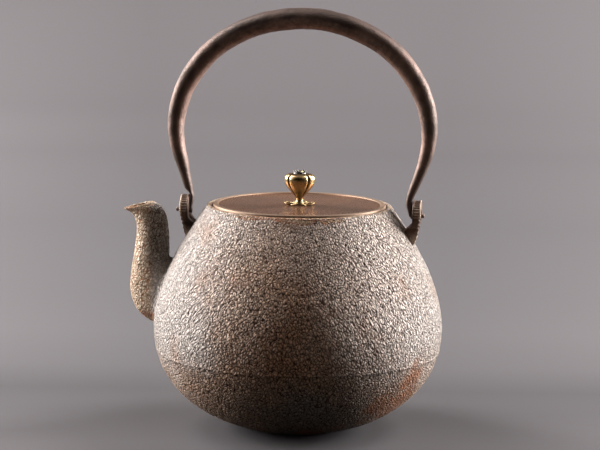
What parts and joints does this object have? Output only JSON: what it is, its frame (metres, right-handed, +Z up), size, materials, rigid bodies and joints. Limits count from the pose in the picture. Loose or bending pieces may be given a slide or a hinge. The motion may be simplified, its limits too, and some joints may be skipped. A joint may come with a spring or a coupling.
{
  "type": "cast iron kettle",
  "caption": "Round-bellied cast iron water kettle with a short upright spout, a flat bronze lid with a bud knob, and an arched bail handle that folds down.",
  "frame": {"origin": "centre of the flat base the kettle stands on", "axes": "+Z up, -X towards the spout, Y across; the bail turns about the line through both ears, along X"},
  "size_m": [0.1789, 0.1606, 0.2336],
  "materials": {
    "cast_iron_skin": "rough wrinkled casting skin, patinated grey-tan with rust-brown patches",
    "ear_iron": "dark brown patinated casting, worn pale on its edges",
    "forged_iron": "dark brown-black hammered iron, satin and pitted",
    "bronze": "flat warm brown patinated bronze, satin",
    "knob_brass": "golden brass, polished with dark grooves",
    "silvered_brass": "silvery grey, polished and darkened in its recesses"
  },
  "bodies": {
    "kettle": {"kettle_shell": "cast_iron_skin", "spout": "cast_iron_skin", "far_ear": "ear_iron", "spout_side_ear": "ear_iron"},
    "handle": {"bail_handle": "forged_iron"},
    "lid": {"lid_plate": "bronze", "lid_collar": "bronze", "knob_seat": "knob_brass", "knob_bud": "knob_brass", "knob_calyx": "silvered_brass", "knob_stem": "knob_brass", "lid_washer": "bronze"}
  },
  "joints": [
    {"name": "handle_fold", "type": "hinge", "parent": "kettle", "child": "handle", "pos_m": [0, 0, 0.1204], "axis": [1, 0, 0], "range_deg": [-100, 100]},
    {"name": "lid_lift", "type": "slide", "parent": "kettle", "child": "lid", "axis": [0, 0, 1], "range_m": [0, 0.07]}
  ]
}
